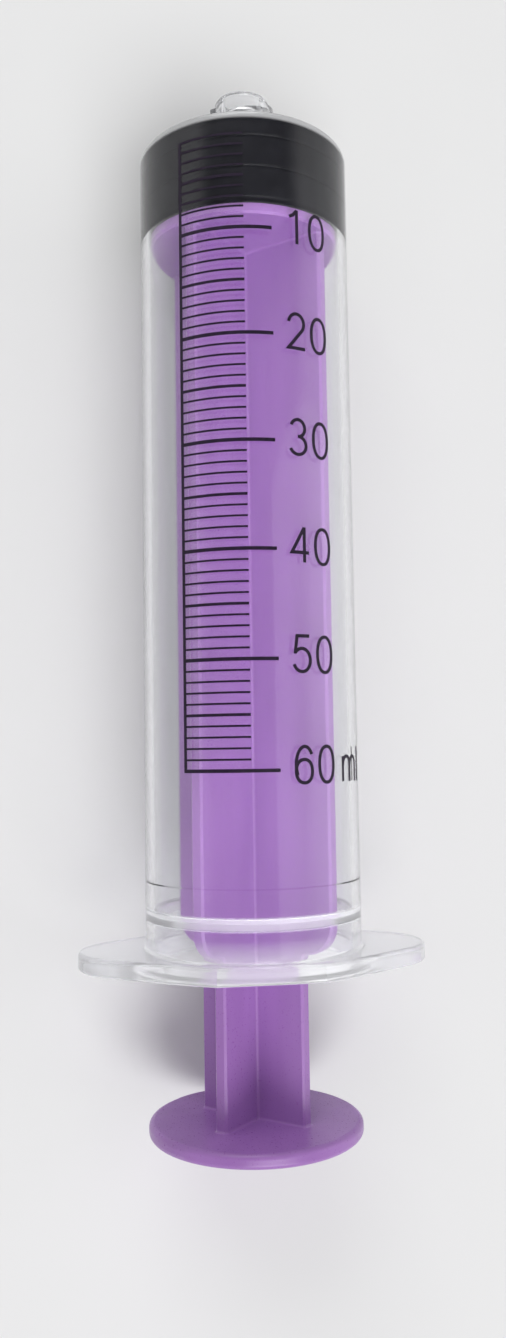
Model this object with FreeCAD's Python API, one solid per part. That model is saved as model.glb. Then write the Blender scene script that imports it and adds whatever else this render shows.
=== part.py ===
import FreeCAD, Part
import math
import os

# A 60 ml enteral syringe, lying on its side with the plunger pushed right in.
# The axis of the barrel runs along Y. The origin is the centre of the connector's mouth, and all of it lies
# at negative Y. The finger flange spreads along X and its lower flat is the lowest face. The scale faces +Z.
# Millimetres and degrees. Angles round the axis start at +Z and grow towards +X.

# Barrel
bore_radius = 14.5
barrel_wall = 1.3
barrel_length = 121.1
front_wall = 1.0
front_cone_angle = 8.0
shoulder_round = 0.9
bore_corner_round = 0.4
mouth_chamfer = 0.7

# Retention bead inside the barrel's open end, and the slightly wider bore round it
relief_depth = 0.1
relief_length = 12.2
relief_run = 0.2
bead_height = 0.6
bead_setback = 6.8
bead_land = 0.5
bead_catch = 0.2
bead_lead_in = 0.9

# Finger flange
flange_span = 51.0
flange_thickness = 2.6
flange_tip_radius = 9.5
flange_waist_rim = 2.7
flange_flat_cut = 1.5
flange_edge_round = 0.5
flange_root_round = 0.5

# Tip with its socket and two-start thread
tip_reach = 10.0
tip_radius = 4.15
tip_edge_round = 0.25
collar_radius = 5.6
collar_height = 0.9
collar_round = 0.25
socket_radius = 2.85
socket_straight = 2.0
socket_depth = 7.5
socket_taper_each_side = 0.03
fluid_radius = 1.45
thread_starts = 2
thread_lead = 5.0
thread_turns = 0.7
thread_height = 0.75
thread_root_width = 1.5
thread_crest_width = 0.7
thread_setback = 0.5
thread_bite = 0.2

# Rubber seal
seal_length = 11.35
seal_end_gap = 0.1
seal_bore_clearance = 0.05
seal_ring_width = 1.8
seal_ring_round = 0.35
rear_ring_setback = 5.3
rear_ring_width = 1.5
seal_waist_depth = 0.55
seal_waist_slope = 0.3
seal_nose_radius = 2.0

# Plunger rod
rod_disc_clearance = 0.3
rod_disc_thickness = 2.0
rod_disc_round = 0.3
rib_thickness = 1.9
rib_bore_clearance = 1.1
rib_corner_round = 4.0
rib_edge_bevel = 0.3
rib_root_round = 0.4
rib_end_setback = 2.1
rib_turn = -42.0
neck_radius = 8.8
neck_foot_round = 0.6
disc_radius = 15.5
disc_thickness = 2.2
disc_rim_round = 0.8
disc_dish_depth = 0.4
disc_dish_radius = 12.5
disc_gap = 21.9

# Snap head on the rod, held in the seal
snap_clearance = 0.08
snap_end_gap = 0.05
snap_neck_radius = 7.6
snap_neck_length = 2.4
snap_head_radius = 9.6
snap_head_land = 2.2
snap_head_slope = 0.5
snap_nose_radius = 5.0
snap_nose_height = 2.2
snap_round = 0.3

# Printed scale
scale_ml = 60
scale_start_angle = -43.3
short_mark_end_angle = -7.8
long_mark_end_angle = 6.5
ink_height = 0.06
fine_mark_width = 0.28
middle_mark_width = 0.4
long_mark_width = 0.5
scale_spine_width = 0.45

# Sizes and places that follow from the ones above, with places as Y
barrel_radius = bore_radius + barrel_wall
cone_slope = math.tan(math.radians(front_cone_angle))
shoulder_y = -tip_reach
front_inner_y = shoulder_y - front_wall
barrel_end_y = shoulder_y - barrel_length
flange_front_y = barrel_end_y + flange_thickness
relief_radius = bore_radius + relief_depth
bead_radius = relief_radius - bead_height
bead_rear_y = barrel_end_y + bead_setback
relief_y = barrel_end_y + relief_length

seal_radius = bore_radius - seal_bore_clearance
seal_front_y = front_inner_y - seal_end_gap
seal_rear_y = seal_front_y - seal_length
zero_line_y = seal_front_y - seal_ring_width / 2

rod_disc_radius = bore_radius - rod_disc_clearance
rod_disc_front_y = seal_rear_y - snap_end_gap
rod_disc_rear_y = rod_disc_front_y - rod_disc_thickness
disc_face_y = barrel_end_y - disc_gap
rib_radius = bore_radius - rib_bore_clearance
rib_end_y = barrel_end_y + rib_end_setback

ml_pitch = 1000.0 / (math.pi * bore_radius ** 2)

# The flange's rim at its flats is its narrowest, and the two rounds there share it
flange_waist_radius = barrel_radius + flange_waist_rim
flange_flat_z = flange_waist_radius - flange_flat_cut
narrow_rim = flange_flat_z - barrel_radius
rim_round = min(flange_edge_round, 0.45 * narrow_rim)
root_round = min(flange_root_round, 0.45 * narrow_rim)

# The ribs' root round has to end before the rounded rim of the backing disc
rib_root = min(rib_root_round, 0.8 * (rod_disc_radius - rod_disc_round - rib_radius))

# Two places nearer than this are the same
touching = 1e-5

axis_y = FreeCAD.Vector(0, 1, 0)
origin = FreeCAD.Vector(0, 0, 0)


def outline_wire(corners, plane_point, bevelled=False):
    """Joins (a, b, round) corners into a closed wire, each corner with a round cut by an arc or a bevel.
    Two rounds that fill the side between them share its length by their sizes."""
    points = [plane_point(a, b) for a, b, _ in corners]
    count = len(points)
    arcs = {}
    leaves = []
    for i, (_, _, radius) in enumerate(corners):
        here = points[i]
        if radius == 0:
            leaves.append((here, here))
            continue
        back = points[i - 1] - here
        ahead = points[(i + 1) % count] - here
        half = back.getAngle(ahead) / 2
        back_share = radius / (radius + corners[i - 1][2])
        ahead_share = radius / (radius + corners[(i + 1) % count][2])
        reach = min(radius / math.tan(half), back_share * back.Length, ahead_share * ahead.Length)
        inward = back.normalize() + ahead.normalize()
        inward.normalize()
        radius = reach * math.tan(half)
        top = here + inward * (radius / math.sin(half) - radius)
        start, end = here + back * reach, here + ahead * reach
        arcs[i] = Part.makeLine(start, end) if bevelled else Part.Arc(start, top, end).toShape()
        leaves.append((start, end))
    edges = []
    for i in range(count):
        if i in arcs:
            edges.append(arcs[i])
        start, end = leaves[i][1], leaves[(i + 1) % count][0]
        if (end - start).Length > touching:
            edges.append(Part.makeLine(start, end))
    return Part.Wire(Part.__sortEdges__(edges))


def turned(corners, bevelled=False):
    """Turns a half section, drawn as (radius, y, round) corners, round the axis."""
    wire = outline_wire(corners, lambda r, y: FreeCAD.Vector(r, y, 0), bevelled)
    return Part.Face(wire).revolve(origin, axis_y, 360)


def plate(corners, thickness, turn):
    """A flat rib through the axis: its (radius, y, round) outline, thickened and turned round the axis.
    Its long edges are bevelled, but not its two ends, which lie inside the discs."""
    wire = outline_wire(corners, lambda r, y: FreeCAD.Vector(r, y, -thickness / 2))
    solid = Part.Face(wire).extrude(FreeCAD.Vector(0, 0, thickness))
    rims = [e for e in solid.Edges if e.BoundBox.ZLength < touching and abs(e.CenterOfMass.x) > touching]
    solid = solid.makeChamfer(rib_edge_bevel, rims)
    solid.rotate(origin, axis_y, turn)
    return solid


def cone_y(base_y, base_radius, radius):
    """Y of a shallow cone that rises towards the tip from base_radius inwards."""
    return base_y + (base_radius - radius) * cone_slope


def barrel_half_section():
    """The tube, its conical front, the tip with its socket, and the bead, as one half section."""
    collar_y = cone_y(shoulder_y, barrel_radius, collar_radius)
    socket_floor_radius = socket_radius - (socket_depth - socket_straight) * socket_taper_each_side
    outside = [
        (socket_radius, 0, 0),
        (tip_radius, 0, tip_edge_round),
        (tip_radius, collar_y + collar_height, 0),
        (collar_radius, collar_y + collar_height, collar_round),
        (collar_radius, collar_y, collar_round),
        (barrel_radius, shoulder_y, shoulder_round),
        (barrel_radius, barrel_end_y, tip_edge_round),
    ]
    open_end = [
        (relief_radius + mouth_chamfer, barrel_end_y, 0),
        (relief_radius, barrel_end_y + mouth_chamfer, 0),
        (relief_radius, bead_rear_y, 0),
        (bead_radius, bead_rear_y + bead_lead_in, 0),
        (bead_radius, bead_rear_y + bead_lead_in + bead_land, 0),
        (relief_radius, bead_rear_y + bead_lead_in + bead_land + bead_catch, 0),
        (relief_radius, relief_y, 0),
        (bore_radius, relief_y + relief_run, 0),
    ]
    front = [
        (bore_radius, front_inner_y, bore_corner_round),
        (fluid_radius, cone_y(front_inner_y, bore_radius, fluid_radius), 0),
        (fluid_radius, -socket_depth, 0),
        (socket_floor_radius, -socket_depth, 0),
        (socket_radius, -socket_straight, 0),
    ]
    return outside + open_end + front


def flange_plate():
    """The finger flange: an oval of two round tips and a wider waist, with a flat cut on each side of it."""
    reach = flange_span / 2 - flange_tip_radius
    lean = math.asin((flange_waist_radius - flange_tip_radius) / reach)

    def rim_point(centre, radius, angle, side):
        return FreeCAD.Vector(side * (centre + radius * math.sin(angle)), barrel_end_y, radius * math.cos(angle))

    def arc(centre, radius, start_angle, end_angle, side):
        angles = (start_angle, (start_angle + end_angle) / 2, end_angle)
        return Part.Arc(*[rim_point(centre, radius, angle, side) for angle in angles]).toShape()

    tips = [arc(reach, flange_tip_radius, lean, math.pi - lean, side) for side in (1, -1)]
    waists = [arc(0, flange_waist_radius, turn - lean, turn + lean, 1) for turn in (0, math.pi)]
    edges = [Part.makeLine(rim_point(0, flange_waist_radius, angle, side),
                           rim_point(reach, flange_tip_radius, angle, side))
             for angle in (lean, math.pi - lean) for side in (1, -1)]
    face = Part.Face(Part.Wire(Part.__sortEdges__(tips + waists + edges)))
    slab = Part.makeBox(flange_span, flange_thickness, 2 * flange_flat_z,
                        FreeCAD.Vector(-flange_span / 2, barrel_end_y, -flange_flat_z))
    solid = face.extrude(axis_y * flange_thickness).common(slab)
    rims = [e for e in solid.Edges if e.BoundBox.YLength < touching]
    solid = solid.makeFillet(rim_round, rims)
    hole = Part.makeCylinder(barrel_radius - barrel_wall / 2, 2 * flange_thickness,
                             FreeCAD.Vector(0, barrel_end_y - flange_thickness / 2, 0), axis_y)
    return solid.cut(hole)


def thread_ridge(start_angle):
    """One start of the tip's thread: a ridge swept along a helix, its foot sunk into the tip."""
    foot_radius = tip_radius - thread_bite
    crest_radius = tip_radius + thread_height
    path = Part.makeHelix(thread_lead, thread_lead * thread_turns, foot_radius)
    section = Part.makePolygon([
        FreeCAD.Vector(foot_radius, 0, -thread_root_width / 2),
        FreeCAD.Vector(crest_radius, 0, -thread_crest_width / 2),
        FreeCAD.Vector(crest_radius, 0, thread_crest_width / 2),
        FreeCAD.Vector(foot_radius, 0, thread_root_width / 2),
        FreeCAD.Vector(foot_radius, 0, -thread_root_width / 2),
    ])
    ridge = Part.Wire(path).makePipeShell([section], True, True)
    ridge.rotate(origin, FreeCAD.Vector(0, 0, 1), start_angle)
    ridge.rotate(origin, FreeCAD.Vector(1, 0, 0), 90)
    ridge.translate(-axis_y * (thread_setback + thread_root_width / 2))
    return ridge


def build_barrel():
    """One clear moulding: tube, tip, finger flange and bead."""
    body = turned(barrel_half_section()).fuse(flange_plate()).removeSplitter()
    root = [e for e in body.Edges
            if abs(e.CenterOfMass.y - flange_front_y) < touching
            and isinstance(e.Curve, Part.Circle) and abs(e.Curve.Radius - barrel_radius) < touching]
    body = body.makeFillet(root_round, root)
    for start in range(thread_starts):
        body = body.fuse(thread_ridge(start * 360.0 / thread_starts))
    return body.removeSplitter()


def build_seal():
    """The rubber seal: two rings that meet the bore, a cone front, and the pocket for the snap head."""
    waist_radius = seal_radius - seal_waist_depth
    front_ring_rear_y = seal_front_y - seal_ring_width
    rear_ring_front_y = seal_front_y - rear_ring_setback
    rear_ring_rear_y = rear_ring_front_y - rear_ring_width
    nose_y = cone_y(seal_front_y, seal_radius, seal_nose_radius)
    outside = [
        (0, nose_y, 0),
        (seal_nose_radius, nose_y, 0),
        (seal_radius, seal_front_y, seal_ring_round),
        (seal_radius, front_ring_rear_y, seal_ring_round),
        (waist_radius, front_ring_rear_y - seal_waist_slope, 0),
        (waist_radius, rear_ring_front_y + seal_waist_slope, 0),
        (seal_radius, rear_ring_front_y, seal_ring_round),
        (seal_radius, rear_ring_rear_y, seal_ring_round),
        (waist_radius, rear_ring_rear_y - seal_waist_slope, 0),
        (waist_radius, seal_rear_y, seal_ring_round),
    ]
    pocket = [(r, y, 0) for r, y in snap_half_section(snap_clearance, seal_rear_y)]
    return turned(outside + pocket, bevelled=True)


def snap_half_section(growth, foot_y):
    """The snap head's outline from its foot to its nose, grown all over by growth."""
    neck_top_y = rod_disc_front_y + snap_neck_length
    land_y = neck_top_y + snap_head_slope
    return [
        (snap_neck_radius + growth, foot_y),
        (snap_neck_radius + growth, neck_top_y - growth),
        (snap_head_radius + growth, land_y - growth),
        (snap_head_radius + growth, land_y + snap_head_land + growth),
        (snap_nose_radius + growth, land_y + snap_head_land + snap_nose_height + growth),
        (0, land_y + snap_head_land + snap_nose_height + growth),
    ]


def rib_outline():
    """A rib pair's outline: wide inside the barrel, narrow outside it for the fingers."""
    top_y = rod_disc_rear_y + rod_disc_thickness / 2
    foot_y = disc_face_y - disc_thickness / 2
    return [
        (rib_radius, top_y, 0),
        (rib_radius, rib_end_y, rib_corner_round),
        (neck_radius, rib_end_y, neck_foot_round),
        (neck_radius, foot_y, 0),
        (-neck_radius, foot_y, 0),
        (-neck_radius, rib_end_y, neck_foot_round),
        (-rib_radius, rib_end_y, rib_corner_round),
        (-rib_radius, top_y, 0),
    ]


def rib_roots(rod):
    """The straight edges where the ribs cross each other and where they stand on the two discs."""
    edges = []
    for edge in rod.Edges:
        middle = edge.CenterOfMass
        crossing = abs(math.hypot(middle.x, middle.z) - rib_thickness / math.sqrt(2)) < touching
        off_disc = min(abs(middle.y - rod_disc_rear_y), abs(middle.y - disc_face_y))
        on_disc = off_disc < touching and edge.BoundBox.YLength < touching
        if isinstance(edge.Curve, Part.Line) and (crossing or on_disc):
            edges.append(edge)
    return edges


def build_rod():
    """One coloured moulding: snap head, backing disc, crossed ribs, neck and thumb disc."""
    head_foot_y = rod_disc_front_y - rod_disc_thickness / 2
    rounds = [0, 0, snap_round, snap_round, snap_round, 0]
    head = [(r, y, size) for (r, y), size in zip(snap_half_section(0, head_foot_y), rounds)]
    head.append((0, head_foot_y, 0))
    backing = [
        (0, rod_disc_front_y, 0),
        (rod_disc_radius, rod_disc_front_y, rod_disc_round),
        (rod_disc_radius, rod_disc_rear_y, rod_disc_round),
        (0, rod_disc_rear_y, 0),
    ]
    disc_end_y = disc_face_y - disc_thickness
    dish_rim = disc_radius - disc_rim_round - (disc_radius - disc_rim_round - disc_dish_radius) / 2
    thumb = [
        (0, disc_face_y, 0),
        (disc_radius, disc_face_y, disc_rim_round),
        (disc_radius, disc_end_y, disc_rim_round),
        (dish_rim, disc_end_y, 0),
        (disc_dish_radius, disc_end_y + disc_dish_depth, 0),
        (0, disc_end_y + disc_dish_depth, 0),
    ]
    rod = turned(head, bevelled=True).fuse([turned(backing, bevelled=True), turned(thumb)])
    rod = rod.fuse([plate(rib_outline(), rib_thickness, rib_turn + quarter) for quarter in (0, 90)])
    rod = rod.removeSplitter()
    return rod.makeFillet(rib_root, rib_roots(rod))


def ring_segment(start_angle, end_angle, front_y, rear_y):
    """A thin layer of ink on the barrel, between two angles and two places along it."""
    corners = [(barrel_radius, front_y), (barrel_radius + ink_height, front_y),
               (barrel_radius + ink_height, rear_y), (barrel_radius, rear_y), (barrel_radius, front_y)]
    face = Part.Face(Part.makePolygon([FreeCAD.Vector(0, y, r) for r, y in corners]))
    face.rotate(origin, axis_y, start_angle)
    return face.revolve(origin, axis_y, end_angle - start_angle)


def mark(ml, foot_angle):
    """The mark of one millilitre: every fifth is bolder, every tenth is longer too."""
    end_angle, width = short_mark_end_angle, fine_mark_width
    if ml % 10 == 0:
        end_angle, width = long_mark_end_angle, long_mark_width
    elif ml % 5 == 0:
        width = middle_mark_width
    y = zero_line_y - ml * ml_pitch
    return ring_segment(foot_angle, end_angle, y + width / 2, y - width / 2)


def build_scale():
    """The comb of marks, which one line joins along their left ends."""
    foot_angle = scale_start_angle + math.degrees(scale_spine_width / barrel_radius)
    first_y = zero_line_y - ml_pitch + fine_mark_width / 2
    last_y = zero_line_y - scale_ml * ml_pitch - long_mark_width / 2
    spine = ring_segment(scale_start_angle, foot_angle, first_y, last_y)
    return spine.fuse([mark(ml, foot_angle) for ml in range(1, scale_ml + 1)])


def save(shape, node):
    """Writes one node as a single solid."""
    solid = shape.Solids[0] if len(shape.Solids) == 1 else shape
    print(node, "solids", len(shape.Solids), "valid", shape.isValid(), "volume", round(shape.Volume, 2))
    solid.exportStep("parts/" + node + ".step")


os.makedirs("parts", exist_ok=True)
save(build_barrel(), "barrel")
save(build_rod(), "plunger_rod")
save(build_seal(), "plunger_seal")
save(build_scale(), "scale_marks")
print("travel to the bead", round(rod_disc_rear_y - (bead_rear_y + bead_lead_in + bead_land + bead_catch), 3))
print("ml pitch", round(ml_pitch, 4), "zero line", zero_line_y, "end", disc_face_y - disc_thickness)
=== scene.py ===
import math

import bmesh
import bpy
from mathutils import Euler, Matrix, Vector


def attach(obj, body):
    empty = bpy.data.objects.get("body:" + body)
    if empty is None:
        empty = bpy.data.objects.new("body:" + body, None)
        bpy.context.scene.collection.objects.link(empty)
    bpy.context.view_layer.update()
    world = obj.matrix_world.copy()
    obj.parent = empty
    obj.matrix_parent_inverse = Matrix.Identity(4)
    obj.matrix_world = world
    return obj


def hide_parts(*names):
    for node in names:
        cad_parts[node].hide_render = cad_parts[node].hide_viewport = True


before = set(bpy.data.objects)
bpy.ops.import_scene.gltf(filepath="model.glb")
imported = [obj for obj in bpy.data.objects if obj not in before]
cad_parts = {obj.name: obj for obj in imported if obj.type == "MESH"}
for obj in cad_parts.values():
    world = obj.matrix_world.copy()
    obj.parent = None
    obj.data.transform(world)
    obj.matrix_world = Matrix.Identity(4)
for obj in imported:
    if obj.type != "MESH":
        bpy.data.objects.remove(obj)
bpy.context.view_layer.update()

# Lengths are in millimetres and angles in degrees, unless a comment says otherwise
# MM turns a length into metres
MM = 0.001

# Barrel and scale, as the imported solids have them: outside, bore, zero line and the length of one millilitre
BARREL_RADIUS = 15.8
BORE_RADIUS = 14.5
ZERO_LINE_Y = -12.0
ML_PITCH = 1000.0 / (math.pi * BORE_RADIUS ** 2)

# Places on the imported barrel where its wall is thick
FLANGE_FRONT_Y = -128.5
BEAD_MIDDLE_Y = -123.5
FRONT_WALL_Y = -11.0

# Milky places, each as (where its fade starts, where it ends, share of milk at the start, share at the end)
FLANGE_FADE = (FLANGE_FRONT_Y - 1.0, FLANGE_FRONT_Y + 3.0, 0.6, 0.0)
BEAD_FADE_ALONG = (0.9, 1.1, 1.0, 0.0)
BEAD_FADE_OUTWARD = (BORE_RADIUS, BORE_RADIUS + 0.2, 1.0, 0.0)
FRONT_FADE = (FRONT_WALL_Y - 0.3, FRONT_WALL_Y + 0.1, 0.0, 1.0)
SHOULDER_FADE = (12.5, BORE_RADIUS, 0.15, 0.9)

# Numerals and the unit: the ink's thickness, the pen, and each sign's height, width and step to the next one
NUMERALS = range(10, 61, 10)
INK_THICKNESS = 0.06
PEN = 0.47
PEN_MITRE_LIMIT = 0.3
STRIP_WIDTH = 0.35
DIGIT_HEIGHT = 5.4
DIGIT_WIDTH = 3.15
DIGIT_STEP = 3.85
NUMERAL_START_ANGLE = 13.6
NUMERAL_LIFT = 0.7
UNIT_START_ANGLE = 45.6
UNIT_HEIGHT = 4.0
UNIT_WIDTH = 4.5
UNIT_STEP = 5.4
RING_SQUARENESS = 0.9
SAME_POINT = 1e-6

# Seal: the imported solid's length, front and pocket, but its side fills the bore, apart from two grooves
SEAL_FRONT_Y = -11.1
SEAL_REAR_Y = -22.45
SEAL_RADIUS = 14.53
SEAL_NOSE_RADIUS = 2.0
SEAL_CONE_ANGLE = 8.0
SEAL_LIP_ROUND = 0.35
GROOVES_Y = (-13.6, -18.1)
GROOVE_RADIUS = 14.24
GROOVE_HALF_WIDTH = 0.45
GROOVE_ROUND = 0.1
# Pocket for the rod's snap head, as (radius, y) from the seal's rear face to the axis
SEAL_POCKET = [
    (7.68, SEAL_REAR_Y), (7.68, -20.18), (9.68, -19.68),
    (9.68, -17.32), (5.08, -15.12), (0.0, -15.12),
]
SEAL_SEGMENTS = 192
SHARP_ANGLE = 35.0

# Photo's camera: set beside the zero line with a tilt in radians, then turned round the barrel's axis
CAMERA_PLACE = Vector((0.0, -88.567, 164.784))
CAMERA_TILT = Euler((0.0766606, -0.00178148, -0.01489922))
CAMERA_TURN_ANGLE = -8.0
FOCAL_LENGTH_PIXELS = 1104.13
PHOTO_HEIGHT_PIXELS = 1338
SENSOR = 36.0

# Floor, lights and clip distances in metres. A light is its name, place, (width, height) and power in watts
FLOOR_Z = -17.0 * MM
FLOOR_REACH = 3.0
CAMERA_CLIP = (0.01, 10.0)
LIGHT_AIM = Vector((0.0, -0.08, 0.0))
LIGHTS = [
    ("key_light", (0.45, -2.40, 3.20), (2.7, 2.3), 112.0),
    ("fill_light", (-1.05, 3.45, 2.40), (2.7, 2.25), 46.8),
    ("side_light", (1.50, 0.0, 1.05), (1.05, 2.7), 5.4),
]

# World's strength: of the pale backdrop, of its dim part overhead, and as ambient light
BACKDROP_LEVEL = 0.85
OVERHEAD_LEVEL = 0.08
AMBIENT_LEVEL = 0.35
# Sine of the height over the horizon where the backdrop starts to go dim, and where it has gone dim
DIM_START = 0.40
DIM_END = 0.70


class Nodes:
    """The node tree of a material or world, with short calls that add and join nodes."""

    def __init__(self, owner):
        owner.use_nodes = True
        self.tree = owner.node_tree
        self.coordinates = self.add("TexCoord").outputs

    def fill(self, node, inputs):
        """Joins each input of a node to another node's output, or sets its value."""
        for key, value in inputs.items():
            if isinstance(value, bpy.types.NodeSocket):
                self.tree.links.new(value, node.inputs[key])
            else:
                node.inputs[key].default_value = value

    def add(self, kind, inputs=None, **settings):
        """Adds a node with its settings and inputs."""
        node = self.tree.nodes.new("ShaderNode" + kind)
        for key, value in settings.items():
            setattr(node, key, value)
        self.fill(node, inputs or {})
        return node

    def spread(self, value, low, high, source_low=0.3, source_high=0.7, **settings):
        """Maps a value to a range. The source range is that of noise, unless another is given."""
        inputs = {
            "Value": value,
            "From Min": source_low,
            "From Max": source_high,
            "To Min": low,
            "To Max": high,
        }
        return self.add("MapRange", inputs, **settings).outputs["Result"]

    def number(self, operation, first, second=0.0):
        """Works out one number from two."""
        return self.add("Math", {0: first, 1: second}, operation=operation).outputs[0]


class Shader(Nodes):
    """A material's node tree, with patterns that are fixed to the part."""

    def __init__(self, name):
        self.material = bpy.data.materials.new(name)
        super().__init__(self.material)
        self.place = self.coordinates["Object"]
        self.surface = self.tree.nodes["Principled BSDF"]
        self.output = self.tree.nodes["Material Output"]

    def stretched(self, scale):
        """Object coordinates scaled along each axis, so that a pattern runs along the part."""
        return self.add("Mapping", {"Vector": self.place, "Scale": scale}).outputs["Vector"]

    def noise(self, size, vector=None, detail=2.0):
        """Noise whose blobs are about size across."""
        inputs = {"Vector": vector or self.place, "Scale": 1 / (size * MM), "Detail": detail}
        return self.add("TexNoise", inputs).outputs["Fac"]

    def fade(self, length, start, end, low, high):
        """Goes from low to high while a length in metres goes from start to end, both in millimetres."""
        return self.spread(length, low, high, start * MM, end * MM)

    def blend(self, share, first, second):
        """Mixes two colours. The numbers are the mixing node's own sockets for colours."""
        return self.add("Mix", {0: share, 6: first, 7: second}, data_type="RGBA").outputs[2]

    def bump(self, height, depth, strength, normal=None):
        """Raises the surface where height is large, on top of another bump if one is given."""
        inputs = {"Height": height, "Distance": depth * MM, "Strength": strength}
        if normal is not None:
            inputs["Normal"] = normal
        return self.add("Bump", inputs).outputs["Normal"]


def milky_share(shader):
    """How milky the clear plastic is, from 0 to 1: at the flange, at the bead and on the front shoulder."""
    along = shader.add("SeparateXYZ", {"Vector": shader.place}).outputs["Y"]
    across = shader.stretched((1.0, 0.0, 1.0))
    off_axis = shader.add("VectorMath", {0: across}, operation="LENGTH").outputs["Value"]
    off_bead = shader.number("ABSOLUTE", shader.number("SUBTRACT", along, BEAD_MIDDLE_Y * MM))
    flange = shader.fade(along, *FLANGE_FADE)
    bead_along = shader.fade(off_bead, *BEAD_FADE_ALONG)
    bead = shader.number("MULTIPLY", bead_along, shader.fade(off_axis, *BEAD_FADE_OUTWARD))
    front_along = shader.fade(along, *FRONT_FADE)
    front = shader.number("MULTIPLY", front_along, shader.fade(off_axis, *SHOULDER_FADE))
    return shader.number("MAXIMUM", shader.number("MAXIMUM", flange, bead), front)


def clear_plastic():
    """Clear polypropylene, milkier where it is thick. Lamps shine straight through it."""
    shader = Shader("clear_plastic_moulded")
    flow = shader.noise(12, shader.stretched((1.0, 0.05, 1.0)), detail=1.0)
    fine = shader.noise(1.2)
    shader.fill(shader.surface, {
        "Base Color": (0.95, 0.955, 0.97, 1),
        "Roughness": shader.spread(fine, 0.05, 0.09),
        "IOR": 1.49,
        "Transmission Weight": shader.spread(milky_share(shader), 0.996, 0.5, 0.0, 1.0),
        "Sheen Weight": 0.05,
        "Sheen Roughness": 0.3,
        "Sheen Tint": (0.93, 0.95, 1.0, 1),
        "Normal": shader.bump(flow, 0.02, 0.2),
    })
    lamp_ray = shader.add("LightPath").outputs["Is Shadow Ray"]
    passed = shader.add("BsdfTransparent", {"Color": (0.77, 0.77, 0.78, 1)}).outputs["BSDF"]
    both = shader.add("MixShader", {0: lamp_ray, 1: shader.surface.outputs["BSDF"], 2: passed})
    shader.fill(shader.output, {"Surface": both.outputs["Shader"]})
    return shader.material


def purple_plastic():
    """Coloured polypropylene: satin, with faint flow marks and a fine moulded grain."""
    shader = Shader("purple_plastic_moulded")
    flow = shader.noise(6, shader.stretched((1.0, 0.15, 1.0)), detail=3.0)
    grain = shader.noise(0.35)
    share = shader.spread(flow, 0.0, 1.0)
    flow_bump = shader.bump(flow, 0.05, 0.3)
    shader.fill(shader.surface, {
        "Base Color": shader.blend(share, (0.32, 0.147, 0.44, 1), (0.368, 0.177, 0.497, 1)),
        "Roughness": shader.spread(grain, 0.26, 0.40),
        "IOR": 1.49,
        "Subsurface Weight": 0.12,
        "Subsurface Radius": (1.0, 0.5, 1.5),
        "Subsurface Scale": 0.6 * MM,
        "Normal": shader.bump(grain, 0.006, 0.4, flow_bump),
    })
    return shader.material


def black_rubber():
    """Black rubber with a thin film of silicone oil."""
    shader = Shader("black_rubber_oiled")
    cloud = shader.noise(3, detail=3.0)
    grain = shader.noise(0.25)
    share = shader.spread(cloud, 0.0, 1.0)
    shader.fill(shader.surface, {
        "Base Color": shader.blend(share, (0.004, 0.004, 0.007, 1), (0.010, 0.010, 0.014, 1)),
        "Roughness": shader.spread(cloud, 0.28, 0.36),
        "Specular IOR Level": 0.10,
        "Normal": shader.bump(grain, 0.002, 0.3),
    })
    return shader.material


def ink():
    """Dark printed ink, slightly uneven."""
    shader = Shader("ink_printed")
    uneven = shader.noise(0.5, detail=3.0)
    share = shader.spread(uneven, 0.0, 1.0)
    shader.fill(shader.surface, {
        "Base Color": shader.blend(share, (0.008, 0.004, 0.013, 1), (0.020, 0.009, 0.030, 1)),
        "Roughness": shader.spread(uneven, 0.4, 0.6),
        "Specular IOR Level": 0.25,
        "Normal": shader.bump(uneven, 0.004, 0.5),
    })
    return shader.material


def pale_floor():
    """Plain matt floor, nearly white."""
    shader = Shader("floor_pale")
    cloud = shader.noise(30)
    shader.fill(shader.surface, {
        "Base Color": shader.blend(cloud, (0.775, 0.775, 0.778, 1), (0.795, 0.795, 0.797, 1)),
        "Roughness": 0.85,
        "Specular IOR Level": 0.2,
    })
    return shader.material


def linked_object(name, data):
    """Puts a mesh, light or camera into the scene."""
    item = bpy.data.objects.new(name, data)
    bpy.context.scene.collection.objects.link(item)
    return item


def mesh_object(name, mesh, material=None):
    """Puts an edited mesh into the scene, with its material."""
    data = bpy.data.meshes.new(name)
    mesh.to_mesh(data)
    mesh.free()
    if material is not None:
        data.materials.append(material)
    return linked_object(name, data)


def arc(centre, radii, start, end, steps=20):
    """Points of an elliptic arc, from one angle to another."""
    angles = [math.radians(start + (end - start) * i / steps) for i in range(steps + 1)]
    return [(centre[0] + radii[0] * math.cos(a), centre[1] + radii[1] * math.sin(a)) for a in angles]


def squared(share):
    """Moves a sine or cosine outwards, so that a circle turns slightly square."""
    return math.copysign(abs(share) ** RING_SQUARENESS, share)


def ring(centre, radii, steps=48):
    """A closed, slightly squared ellipse. Its last point repeats the first."""
    points = []
    for i in range(steps + 1):
        angle = 2 * math.pi * i / steps
        x = centre[0] + radii[0] * squared(math.cos(angle))
        y = centre[1] + radii[1] * squared(math.sin(angle))
        points.append((x, y))
    return points


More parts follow.
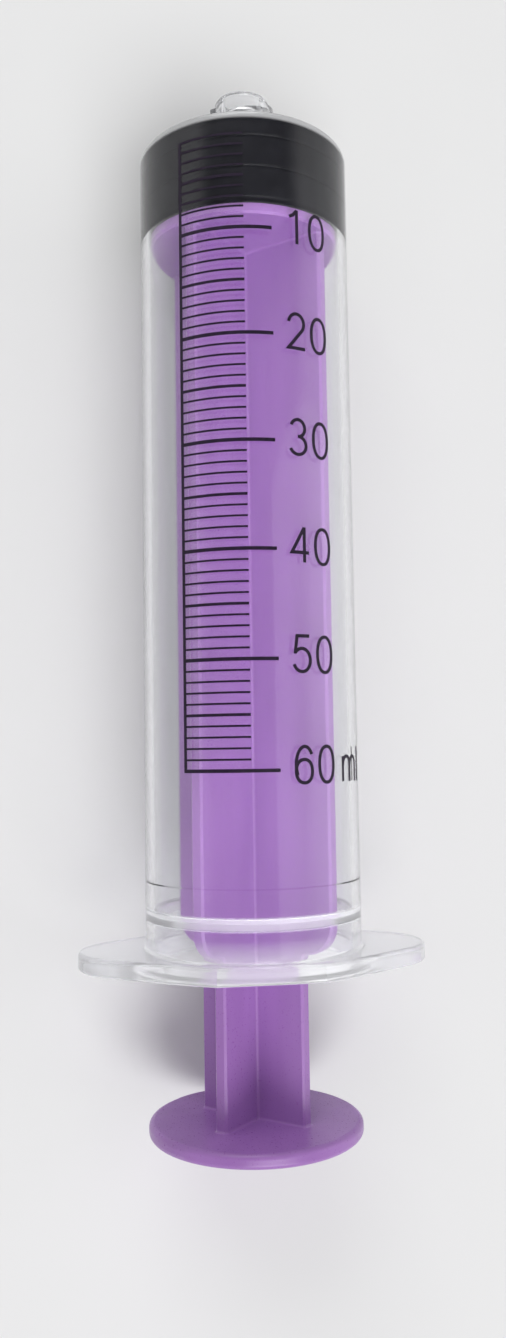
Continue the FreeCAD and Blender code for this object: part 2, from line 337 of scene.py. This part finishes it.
# Each glyph is a list of pen strokes, in shares of its width and height
GLYPHS = {
    "0": [ring((0.5, 0.5), (0.5, 0.5))],
    "1": [[(0.62, 0.0), (0.62, 1.0)], [(0.18, 0.78), (0.40, 0.84), (0.62, 0.99)]],
    "2": [arc((0.49, 0.72), (0.45, 0.28), 172, -38) + [(0.02, 0.0), (1.0, 0.0)]],
    "3": [arc((0.47, 0.755), (0.41, 0.245), 160, -90), arc((0.47, 0.26), (0.48, 0.26), 90, -158)],
    "4": [[(0.72, 0.98), (0.0, 0.28), (1.0, 0.28)], [(0.73, 1.0), (0.73, 0.0)]],
    "5": [[(0.92, 1.0), (0.20, 1.0), (0.08, 0.50)], arc((0.47, 0.325), (0.50, 0.325), 142, -158)],
    "6": [ring((0.5, 0.32), (0.47, 0.32)), arc((0.53, 0.5), (0.50, 0.5), 215, 35)],
    "m": [[(0.0, 0.0), (0.0, 1.0)],
          arc((0.26, 0.70), (0.24, 0.30), 190, 0, 12) + [(0.5, 0.0)],
          arc((0.76, 0.70), (0.24, 0.30), 190, 0, 12) + [(1.0, 0.0)]],
    "l": [[(0.0, 0.0), (0.0, 1.38)]],
}


def stroke_edges(points, closed):
    """Left and right edge of a pen stroke at each of its points, with mitred corners."""
    runs = [(b - a).normalized() for a, b in zip(points, points[1:])]
    if closed:
        corners = zip(points[:-1], [runs[-1], *runs[:-1]], runs)
    else:
        corners = zip(points, [runs[0], *runs], [*runs, runs[-1]])
    edges = []
    for here, into, out in corners:
        middle = (into + out).normalized()
        across = Vector((-middle.y, middle.x))
        reach = PEN / 2 / max(PEN_MITRE_LIMIT, middle.dot(into))
        edges.append((here - across * reach, here + across * reach))
    return edges


def stroke_object(points, closed):
    """One pen stroke as a flat closed solid, from z = 0 to 1."""
    mesh = bmesh.new()
    rows = []
    for left, right in stroke_edges(points, closed):
        corners = ((left, 0), (right, 0), (right, 1), (left, 1))
        rows.append([mesh.verts.new((p.x, p.y, z)) for p, z in corners])
    pairs = list(zip(rows, rows[1:]))
    if closed:
        pairs.append((rows[-1], rows[0]))
    for a, b in pairs:
        for k in range(4):
            mesh.faces.new((a[k], a[(k + 1) % 4], b[(k + 1) % 4], b[k]))
    if not closed:
        mesh.faces.new(rows[0][::-1])
        mesh.faces.new(rows[-1])
    bmesh.ops.recalc_face_normals(mesh, faces=mesh.faces)
    return mesh_object("stroke", mesh)


def glyph_mesh(letter, width, height):
    """A glyph's strokes joined into one flat solid, from z = 0 to 1."""
    strokes = []
    for line in GLYPHS[letter]:
        points = [Vector((x * (width - PEN) + PEN / 2, y * (height - PEN) + PEN / 2)) for x, y in line]
        closed = (points[0] - points[-1]).length < SAME_POINT
        strokes.append(stroke_object(points, closed))
    first = strokes[0]
    for other in strokes[1:]:
        union = first.modifiers.new("union", "BOOLEAN")
        union.operation = "UNION"
        union.solver = "EXACT"
        union.object = other
    bpy.context.view_layer.update()
    whole = bpy.data.meshes.new_from_object(first.evaluated_get(bpy.context.evaluated_depsgraph_get()))
    for stroke in strokes:
        bpy.data.objects.remove(stroke)
    return whole


def wrap_glyph(mesh, letter, width, height, start_angle, step, base_y):
    """Adds a glyph to mesh, cut into narrow strips and bent round the barrel."""
    flat = glyph_mesh(letter, width, height)
    glyph = bmesh.new()
    glyph.from_mesh(flat)
    bpy.data.meshes.remove(flat)
    for i in range(1, int(width / STRIP_WIDTH) + 1):
        parts = glyph.verts[:] + glyph.edges[:] + glyph.faces[:]
        bmesh.ops.bisect_plane(glyph, geom=parts, plane_co=(i * STRIP_WIDTH, 0, 0), plane_no=(1, 0, 0))
    for vertex in glyph.verts:
        x, y, z = vertex.co
        angle = math.radians(start_angle) + (step + x) / BARREL_RADIUS
        radius = BARREL_RADIUS + z * INK_THICKNESS
        vertex.co = (radius * math.sin(angle) * MM, (base_y + y) * MM, radius * math.cos(angle) * MM)
    bent = bpy.data.meshes.new("bent")
    glyph.to_mesh(bent)
    glyph.free()
    mesh.from_mesh(bent)
    bpy.data.meshes.remove(bent)


def make_numerals(material):
    """The numerals beside the long marks, and the unit beside the last one."""
    mesh = bmesh.new()
    for ml in NUMERALS:
        base_y = ZERO_LINE_Y - ml * ML_PITCH + NUMERAL_LIFT - DIGIT_HEIGHT / 2
        for place, digit in enumerate(str(ml)):
            step = place * DIGIT_STEP
            wrap_glyph(mesh, digit, DIGIT_WIDTH, DIGIT_HEIGHT, NUMERAL_START_ANGLE, step, base_y)
    wrap_glyph(mesh, "m", UNIT_WIDTH, UNIT_HEIGHT, UNIT_START_ANGLE, 0, base_y)
    wrap_glyph(mesh, "l", PEN, UNIT_HEIGHT, UNIT_START_ANGLE, UNIT_STEP, base_y)
    bmesh.ops.recalc_face_normals(mesh, faces=mesh.faces)
    piece = mesh_object("scale_numerals", mesh, material)
    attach(piece, "barrel")


def rounded(corners, steps=6):
    """Replaces each (radius, y, round) corner with points of an arc, and keeps one whose round is 0."""
    points = []
    for i, (r, y, size) in enumerate(corners):
        here = Vector((r, y))
        if size == 0:
            points.append(here)
            continue
        back = (Vector(corners[i - 1][:2]) - here).normalized()
        ahead = (Vector(corners[i + 1][:2]) - here).normalized()
        half = back.angle(ahead) / 2
        middle = here + (back + ahead).normalized() * (size / math.sin(half))
        start = here + back * (size / math.tan(half)) - middle
        end = here + ahead * (size / math.tan(half)) - middle
        points += [middle + start.slerp(end, k / steps) for k in range(steps + 1)]
    return points


def turned_piece(name, outline, material):
    """Turns an outline of (radius, y) points round the barrel's axis."""
    mesh = bmesh.new()
    rows = []
    for r, y in outline:
        if r == 0:
            rows.append([mesh.verts.new((0, y * MM, 0))])
            continue
        turns = [2 * math.pi * k / SEAL_SEGMENTS for k in range(SEAL_SEGMENTS)]
        rows.append([mesh.verts.new((r * MM * math.sin(a), y * MM, r * MM * math.cos(a))) for a in turns])
    for a, b in zip(rows, rows[1:]):
        for k in range(SEAL_SEGMENTS):
            corners = [a[k % len(a)], a[(k + 1) % len(a)], b[(k + 1) % len(b)], b[k % len(b)]]
            mesh.faces.new(list(dict.fromkeys(corners)))
    bmesh.ops.recalc_face_normals(mesh, faces=mesh.faces)
    piece = mesh_object(name, mesh, material)
    piece.data.shade_smooth()
    piece.data.set_sharp_from_angle(angle=math.radians(SHARP_ANGLE))
    return piece


def make_seal(material):
    """The seal, its side squeezed against the bore."""
    nose_y = SEAL_FRONT_Y + (SEAL_RADIUS - SEAL_NOSE_RADIUS) * math.tan(math.radians(SEAL_CONE_ANGLE))
    outside = [(0.0, nose_y, 0), (SEAL_NOSE_RADIUS, nose_y, 0), (SEAL_RADIUS, SEAL_FRONT_Y, SEAL_LIP_ROUND)]
    for groove_y in GROOVES_Y:
        outside += [
            (SEAL_RADIUS, groove_y + GROOVE_HALF_WIDTH, GROOVE_ROUND),
            (GROOVE_RADIUS, groove_y, GROOVE_ROUND),
            (SEAL_RADIUS, groove_y - GROOVE_HALF_WIDTH, GROOVE_ROUND),
        ]
    outside += [(SEAL_RADIUS, SEAL_REAR_Y, SEAL_LIP_ROUND), (*SEAL_POCKET[0], 0)]
    seal = turned_piece("seal_rubber", rounded(outside) + SEAL_POCKET[1:], material)
    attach(seal, "seal")
    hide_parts("plunger_seal")


def make_floor(material):
    """A wide flat floor, on which the flange's flat lies."""
    mesh = bmesh.new()
    bmesh.ops.create_grid(mesh, x_segments=1, y_segments=1, size=FLOOR_REACH)
    floor = mesh_object("floor", mesh, material)
    floor.location.z = FLOOR_Z


def make_camera():
    """The photo's camera."""
    data = bpy.data.cameras.new("camera")
    data.sensor_width = SENSOR
    data.lens = FOCAL_LENGTH_PIXELS / PHOTO_HEIGHT_PIXELS * SENSOR
    data.clip_start, data.clip_end = CAMERA_CLIP
    camera = linked_object("camera", data)
    zero_line = Matrix.Translation((0, ZERO_LINE_Y * MM, 0))
    turn = Matrix.Rotation(math.radians(CAMERA_TURN_ANGLE), 4, "Y")
    place = Matrix.Translation(CAMERA_PLACE * MM) @ CAMERA_TILT.to_matrix().to_4x4()
    camera.matrix_world = zero_line @ turn @ place
    bpy.context.scene.camera = camera


def make_lights():
    """Large soft lights far beyond the two ends, and a side light that draws the barrel's edge."""
    for name, place, size, power in LIGHTS:
        data = bpy.data.lights.new(name, "AREA")
        data.shape = "RECTANGLE"
        data.size, data.size_y = size
        data.energy = power
        light = linked_object(name, data)
        light.location = place
        light.rotation_euler = (LIGHT_AIM - Vector(place)).to_track_quat("-Z", "Y").to_euler()


def make_world():
    """A pale backdrop to the eye, in reflections and through the plastic, and soft ambient light."""
    world = bpy.data.worlds.new("world")
    nodes = Nodes(world)
    height = nodes.add("SeparateXYZ", {"Vector": nodes.coordinates["Generated"]}).outputs["Z"]
    # Reflections see it dim overhead, so that they don't veil what the barrel holds
    dimmed = nodes.spread(
        height, BACKDROP_LEVEL, OVERHEAD_LEVEL, DIM_START, DIM_END, interpolation_type="SMOOTHSTEP")
    path = nodes.add("LightPath").outputs
    strength = AMBIENT_LEVEL
    # Transmission comes last, because a ray that the plastic bends counts as glossy too
    levels = {"Is Camera Ray": BACKDROP_LEVEL, "Is Glossy Ray": dimmed, "Is Transmission Ray": BACKDROP_LEVEL}
    for ray, level in levels.items():
        strength = nodes.add("Mix", {"Factor": path[ray], "A": strength, "B": level}).outputs["Result"]
    nodes.fill(nodes.tree.nodes["Background"], {"Color": (1, 1, 1, 1), "Strength": strength})
    bpy.context.scene.world = world


def dress(node, material):
    """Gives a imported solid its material."""
    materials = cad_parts[node].data.materials
    materials.clear()
    materials.append(material)


ink_material = ink()
dress("barrel", clear_plastic())
dress("plunger_rod", purple_plastic())
dress("scale_marks", ink_material)
make_seal(black_rubber())
make_numerals(ink_material)
make_floor(pale_floor())
make_camera()
make_lights()
make_world()
bpy.context.scene.view_settings.view_transform = "Standard"
